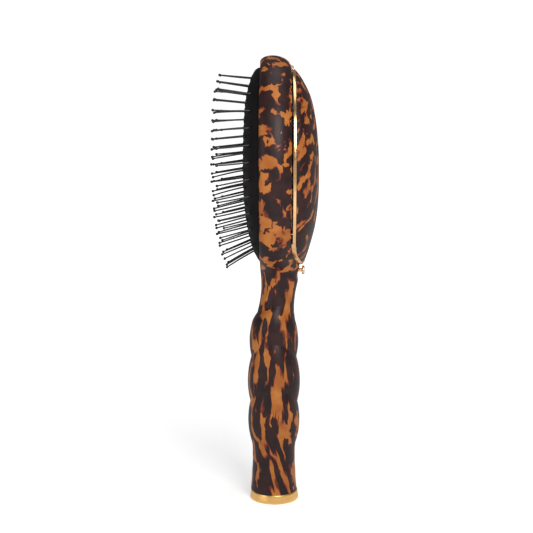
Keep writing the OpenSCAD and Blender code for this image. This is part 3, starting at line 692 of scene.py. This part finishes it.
def new_group(name, takes, gives):
    """A shader node group with named sockets. takes and gives are {name: (socket kind, default)}."""
    tree = bpy.data.node_groups.new(name, "ShaderNodeTree")
    for label, (kind, default) in takes.items():
        socket = tree.interface.new_socket(label, in_out="INPUT", socket_type="NodeSocket" + kind)
        if default is not None:
            socket.default_value = default
    for label, kind in gives.items():
        tree.interface.new_socket(label, in_out="OUTPUT", socket_type="NodeSocket" + kind)
    return tree, tree.nodes.new("NodeGroupInput"), tree.nodes.new("NodeGroupOutput")


def use_group(tree, group, inputs):
    """Places a group in a tree with its own values."""
    node = tree.nodes.new("ShaderNodeGroup")
    node.node_tree = group
    for key, value in inputs.items():
        if isinstance(value, bpy.types.NodeSocket):
            tree.links.new(value, node.inputs[key])
        else:
            node.inputs[key].default_value = value
    return node


def ramp(tree, value, stops):
    """A colour ramp through [place, colour] stops."""
    node = add(tree, "ValToRGB", {0: value})
    elements = node.color_ramp.elements
    while len(elements) > 1:
        elements.remove(elements[-1])
    for k, (place, colour) in enumerate(stops):
        element = elements[0] if k == 0 else elements.new(place)
        element.position, element.color = place, (*colour, 1)
    return node.outputs[0]


print("node groups before these:", len(bpy.data.node_groups))

# %% [markdown]
# The three groups give only colours, heights and roughness values. Each material feeds them to its own
# shader, so the lacquer, rubber and metal share one source of grain and stay easy to change.

# %% Shared groups
blotches, takes, gives = new_group(
    "Blotches", {"Vector": ("Vector", None), "Size": ("Float", 0.012), "Curl": ("Float", 0.006),
                 "Ragged": ("Float", 1.0)},
    {"Field": "Float"})
per_metre = maths(blotches, "DIVIDE", 1.0, takes.outputs["Size"])
push = add(blotches, "TexNoise",
           {"Vector": takes.outputs["Vector"], "Scale": per_metre, "Detail": 2.0, "Roughness": 0.55})
centred = add(blotches, "VectorMath", {0: push.outputs["Color"], 1: (0.5, 0.5, 0.5)}, operation="SUBTRACT")
shift = add(blotches, "VectorMath", {0: centred.outputs[0], "Scale": takes.outputs["Curl"]}, operation="SCALE")
moved = add(blotches, "VectorMath", {0: takes.outputs["Vector"], 1: shift.outputs[0]}, operation="ADD")
cells = add(blotches, "TexVoronoi",
            {"Vector": moved.outputs[0], "Scale": per_metre, "Smoothness": 0.35, "Randomness": 1.0},
            feature="SMOOTH_F1")
cloud_scale = maths(blotches, "MULTIPLY", per_metre, 1.3)
cloud = add(blotches, "TexNoise", {"Vector": moved.outputs[0], "Scale": cloud_scale, "Detail": 2.2, "Roughness": 0.5})
rough = maths(blotches, "MULTIPLY_ADD", maths(blotches, "SUBTRACT", cloud.outputs["Fac"], 0.5), takes.outputs["Ragged"],
              cells.outputs["Distance"])
blotches.links.new(rough, gives.inputs["Field"])

shell_colour, takes, gives = new_group(
    "Tortoiseshell colour", {"Field": ("Float", 0.5), "Vector": ("Vector", None), "Shore": ("Float", 0.53)},
    {"Color": "Color"})
patch = add(shell_colour, "TexNoise", {"Vector": takes.outputs["Vector"], "Scale": 140.0, "Detail": 2.0})
steep = add(shell_colour, "MapRange", {0: patch.outputs["Fac"], 1: 0.36, 2: 0.60, 3: 0.65, 4: 3.3},
            clamp=True).outputs[0]
above = maths(shell_colour, "SUBTRACT", takes.outputs["Field"], takes.outputs["Shore"])
lifted = maths(shell_colour, "MULTIPLY_ADD", above, steep, 0.5, clamp=True)
depth = ramp(shell_colour, patch.outputs["Fac"], [[0.35, (0.014, 0.0055, 0.0065)], [0.64, (0.034, 0.0105, 0.0090)]])
pool = ramp(shell_colour, patch.outputs["Fac"], [[0.35, (0.36, 0.102, 0.017)], [0.65, (0.48, 0.165, 0.030)]])
shore = ramp(shell_colour, lifted, [[0.39, (0, 0, 0)], [0.49, (0.5, 0.5, 0.5)], [0.55, (1, 1, 1)]])
SHORE_RED = (0.19, 0.030, 0.012, 1)
near = maths(shell_colour, "MULTIPLY", shore, 2.0, clamp=True)
under = add(shell_colour, "Mix", {0: near, 6: depth, 7: SHORE_RED}, data_type="RGBA").outputs[2]
over = maths(shell_colour, "MULTIPLY_ADD", shore, 2.0, -1.0, clamp=True)
colour = add(shell_colour, "Mix", {0: over, 6: under, 7: pool}, data_type="RGBA").outputs[2]
shell_colour.links.new(colour, gives.inputs["Color"])

grain, takes, gives = new_group(
    "Fine grain", {"Vector": ("Vector", None), "Size": ("Float", 0.0005), "Middle": ("Float", 0.4),
                   "Spread": ("Float", 0.1)},
    {"Height": "Float", "Roughness": "Float"})
per_metre = maths(grain, "DIVIDE", 1.0, takes.outputs["Size"])
speck = add(grain, "TexNoise", {"Vector": takes.outputs["Vector"], "Scale": per_metre, "Detail": 3.0, "Roughness": 0.6})
cloud_scale = maths(grain, "MULTIPLY", per_metre, 0.03)
cloud = add(grain, "TexNoise", {"Vector": takes.outputs["Vector"], "Scale": cloud_scale, "Detail": 2.0})
drift = maths(grain, "MULTIPLY", maths(grain, "SUBTRACT", cloud.outputs["Fac"], 0.5), takes.outputs["Spread"])
fleck = maths(grain, "MULTIPLY", maths(grain, "SUBTRACT", speck.outputs["Fac"], 0.5), takes.outputs["Spread"])
grain.links.new(speck.outputs["Fac"], gives.inputs["Height"])
change = maths(grain, "ADD", drift, fleck)
grain.links.new(maths(grain, "ADD", takes.outputs["Middle"], change, clamp=True), gives.inputs["Roughness"])
print("groups:", [g.name for g in bpy.data.node_groups])

# %% [markdown]
# Every material starts from one shader, and its constants sit on the shader's own sockets. The fine grain
# is looked up in object coordinates, so it stays on the piece when the piece moves.

# %% Material helpers
def new_material(name, slot_values):
    """A material whose shader's own sockets hold the constants. Returns the material, its tree and shader."""
    material = bpy.data.materials.new(name)
    material.use_nodes = True
    shader = material.node_tree.nodes["Principled BSDF"]
    for key, value in slot_values.items():
        shader.inputs[key].default_value = value
    return material, material.node_tree, shader


def surface(tree, shader, size, middle, spread, height, strength=0.3):
    """Adds the fine grain to a shader: its roughness and a bump from its height."""
    where = add(tree, "TexCoord").outputs["Object"]
    fine = use_group(tree, grain, {"Vector": where, "Size": size, "Middle": middle, "Spread": spread})
    bump = add(tree, "Bump", {"Strength": strength, "Distance": height, "Height": fine.outputs["Height"]})
    tree.links.new(fine.outputs["Roughness"], shader.inputs["Roughness"])
    tree.links.new(bump.outputs[0], shader.inputs["Normal"])
    return where


def mapped(tree, where, turn=(0, 0, 0), scale=(1, 1, 1), place=(0, 0, 0)):
    """Object coordinates moved, turned, and divided by a stretch, by a Mapping node of the texture kind."""
    space = {"Vector": where, "Location": place, "Rotation": [np.radians(a) for a in turn], "Scale": scale}
    return add(tree, "Mapping", space, vector_type="TEXTURE").outputs[0]


print("materials before the finishes:", len(bpy.data.materials))

# %% [markdown]
# The lacquer's pattern is not the same everywhere. On the head the islands are round and about a centimetre
# across. On the neck and handle the pattern is drawn out lengthwise into streaks, and on the lid it runs in
# slanting veins. A Mapping node in front of the blotches turns and stretches the space. On the body the height
# itself is squeezed below the neck, so that one field runs from islands to streaks without a seam.

# %% Lacquer
def drawn_out(tree, where, start=0.124, length=2.9, narrowing=1.3):
    """Object coordinates whose pattern is drawn out below the height start: height becomes the smooth maximum of
    rise and rise/length, the sides close in by the narrowing, and y slants by 0.3 of the drop below 45 mm."""
    x, y, height = add(tree, "SeparateXYZ", {0: where}).outputs
    rise = maths(tree, "SUBTRACT", height, start)
    drawn = maths(tree, "SMOOTH_MAX", rise, maths(tree, "DIVIDE", rise, length), 0.02)
    narrow = add(tree, "MapRange", {0: height, 1: start + 0.016, 2: start - 0.034, 3: 1.0, 4: narrowing},
                 clamp=True).outputs[0]
    drop = maths(tree, "MAXIMUM", maths(tree, "SUBTRACT", 0.045, height), 0.0)
    slanted = maths(tree, "MULTIPLY_ADD", drop, -0.3, y)
    sides = [maths(tree, "MULTIPLY", value, narrow) for value in (x, slanted)]
    return add(tree, "CombineXYZ", {0: sides[0], 1: sides[1], 2: drawn}).outputs[0]


def lacquer(name, space, size, curl, shore, streaked=False):
    """Satin lacquer over tortoiseshell. space sets the mapping; streaked draws the pattern out on the handle."""
    gloss = {"Specular IOR Level": 0.24, "Coat Weight": 0.05, "Coat Roughness": 0.28}
    material, tree, shader = new_material(name, gloss)
    where = surface(tree, shader, 0.0006, 0.45, 0.10, 0.00002, 0.25)
    laid = drawn_out(tree, where) if streaked else where
    field = use_group(tree, blotches, {"Vector": mapped(tree, laid, **space), "Size": size, "Curl": curl}).outputs[0]
    shell = use_group(tree, shell_colour, {"Field": field, "Vector": where, "Shore": shore})
    tree.links.new(shell.outputs["Color"], shader.inputs["Base Color"])
    return material


body_lacquer = lacquer("body_lacquer", dict(turn=(10, 0, 0), scale=(1.0, 1.0, 1.15), place=(0.013, 0.004, 0.002)),
                       0.0056, 0.0062, 0.604, streaked=True)
lid_lacquer = lacquer("lid_lacquer", dict(turn=(-36, 0, 0), scale=(1.0, 1.0, 3.0), place=(0.05, 0.02, 0.0)),
                      0.0041, 0.0046, 0.638)


print("lacquers:", body_lacquer.name, lid_lacquer.name)

# %% [markdown]
# The trim is plated brass, polished on the lid and satin on the end cap, where the lathe has left fine rings.
# The screws, hinge and spring are steel, and the mirror is silvered glass seen from its front.

# %% Metals
def metal(name, tint, middle, spread, stretch=(1, 1, 1), size=0.0007, strength=0.15):
    """Plated metal: fully metallic, with a faint drawn grain that varies its roughness and its tint."""
    material, tree, shader = new_material(name, {"Metallic": 1.0})
    where = mapped(tree, add(tree, "TexCoord").outputs["Object"], scale=stretch)
    fine = use_group(tree, grain, {"Vector": where, "Size": size, "Middle": middle, "Spread": spread})
    tree.links.new(fine.outputs["Roughness"], shader.inputs["Roughness"])
    bump = add(tree, "Bump", {"Strength": strength, "Distance": 0.00001, "Height": fine.outputs["Height"]})
    tree.links.new(bump.outputs[0], shader.inputs["Normal"])
    darker = tuple(0.86 * c for c in tint)
    tree.links.new(ramp(tree, fine.outputs["Height"], [[0.35, darker], [0.6, tint]]), shader.inputs["Base Color"])
    return material


gold_trim = metal("polished_gold", (0.91, 0.55, 0.27), 0.17, 0.06, size=0.002, strength=0.04)
gold_cap = metal("satin_gold", (1.0, 0.61, 0.21), 0.33, 0.16, stretch=(10, 10, 1), size=0.001, strength=0.1)
steel = metal("bright_steel", (0.62, 0.62, 0.63), 0.25, 0.12, stretch=(6, 1, 1))
mirror_silver = metal("silvered_glass", (0.90, 0.91, 0.92), 0.02, 0.03, size=0.02, strength=0.0)


print("metals:", gold_trim.name, gold_cap.name, steel.name, mirror_silver.name)

# %% [markdown]
# The cushion is natural rubber, the pins are nylon, the tray is a moulded plastic and the pad behind the
# mirror is foam. They differ in gloss and grain more than in colour, so one recipe makes all four.

# %% Rubber and plastics
def plain(name, dark, light, size, middle, spread, height, strength=0.4, **constants):
    """Moulded rubber or plastic: a fine grain for gloss and bump, and a slow change of colour."""
    material, tree, shader = new_material(name, constants)
    where = surface(tree, shader, size, middle, spread, height, strength)
    cloud = add(tree, "TexNoise", {"Vector": where, "Scale": 90.0, "Detail": 3.0})
    tree.links.new(ramp(tree, cloud.outputs["Fac"], [[0.35, dark], [0.65, light]]), shader.inputs["Base Color"])
    return material


rubber = plain("cushion_rubber", (0.0045, 0.0032, 0.0038), (0.0080, 0.0060, 0.0070), 0.0007, 0.66, 0.14, 0.00006, 0.5,
               **{"Specular IOR Level": 0.12})
nylon = plain("pin_nylon", (0.006, 0.005, 0.0055), (0.010, 0.008, 0.0085), 0.0009, 0.36, 0.12, 0.00001, 0.2)
liner = plain("moulded_liner", (0.020, 0.017, 0.017), (0.027, 0.023, 0.022), 0.0005, 0.58, 0.12, 0.00004, 0.5)
foam = plain("mirror_foam", (0.05, 0.05, 0.05), (0.08, 0.08, 0.08), 0.0006, 0.85, 0.1, 0.00008, 0.6)
print("materials:", len(bpy.data.materials))

# %% [markdown]
# ## Assembly
# Each new piece takes its finish, rides on its body and hides the CAD node that it stands for. The small
# hidden or exact parts stay CAD nodes and only get a better material.

# %% Put the pieces on their bodies
finish_piece(body, body_lacquer, "brush", "lacquered_body", "brush_body")
finish_piece(lid, lid_lacquer, "lid", "lacquered_body", "lid_shell")
finish_piece(bezel, gold_trim, "lid", "gold_trim", "lid_bezel")
finish_piece(plate, gold_trim, "brush", "gold_trim", "catch_plate")
finish_piece(cap, gold_cap, "brush", "gold_cap", "end_cap")
finish_piece(button, gold_trim, "button", "gold_trim", "push_button")
finish_piece(spring, steel, "brush", "steel", "button_spring")
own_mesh(spring)
finish_piece(tray, liner, "brush", "tray_liner", "compartment_tray")
finish_piece(mirror_rim, gold_trim, "lid", "gold_trim", "mirror_frame")
for k, column in enumerate(columns):
    finish_piece(column, nylon, "cushion", "pin_nylon", f"pins_column_{k + 1}")
finish_piece(cushion, rubber, "brush", "cushion_rubber", "cushion_pad")
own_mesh(cushion)

cad_finish = {"tray_liner": liner, "gold_trim": gold_trim, "steel": steel, "mirror": mirror_silver, "foam": foam}
for part in frame["record"]["subparts"]:
    node = nodes[part["node"]]
    if not node.hide_render:
        for slot in node.material_slots:
            slot.link = "OBJECT"
            slot.material = cad_finish[part["material_slot"]]
print("CAD nodes still shown:", sum(not node.hide_render for node in nodes.values()))

# %% [markdown]
# The floor is a plain white sheet that belongs to the studio, and it takes the soft shadow of the brush. It glows
# mainly for the camera, so it looks white. Other rays get 0.3 of that, which keeps the handle dark. The glow is weaker
# near the brush, from 0.48 at 0.1 m to full at 0.9 m. This paints the floor round the foot a little darker, as painted
# shade under the real cast shadow, while the far floor reads pure white.

# %% Floor
floor_mesh = bpy.data.meshes.new("studio_floor")
floor_mesh.from_pydata([(-6, -6, 0), (6, -6, 0), (6, 6, 0), (-6, 6, 0)], [], [(0, 1, 2, 3)])
floor = bpy.data.objects.new("studio_floor", floor_mesh)
bpy.context.scene.collection.objects.link(floor)
paper, tree, shader = new_material("studio_paper", {"Specular IOR Level": 0.0, "Emission Strength": 1.0})
reach = add(tree, "VectorMath", {0: add(tree, "TexCoord").outputs["Object"]}, operation="LENGTH").outputs["Value"]
# painted shade: the floor's glow is dimmer near the brush and full far away
floor_glow_dim_near_brush = add(tree, "MapRange", {0: reach, 1: 0.1, 2: 0.9, 3: 0.48, 4: 1.0}, clamp=True).outputs[0]
tree.links.new(floor_glow_dim_near_brush, shader.inputs["Emission Color"])
looked_at = add(tree, "LightPath").outputs["Is Camera Ray"]
tree.links.new(add(tree, "MapRange", {0: looked_at, 3: 0.3, 4: 1.0}).outputs[0], shader.inputs["Emission Strength"])
cloud = add(tree, "TexNoise", {"Vector": add(tree, "TexCoord").outputs["Object"], "Scale": 30.0})
whites = ramp(tree, cloud.outputs["Fac"], [[0.3, (0.93, 0.93, 0.93)], [0.7, (0.95, 0.95, 0.95)]])
tree.links.new(whites, shader.inputs["Base Color"])
shader.inputs["Roughness"].default_value = 0.9
floor_mesh.materials.append(paper)
print("floor side in m:", floor.dimensions.x)
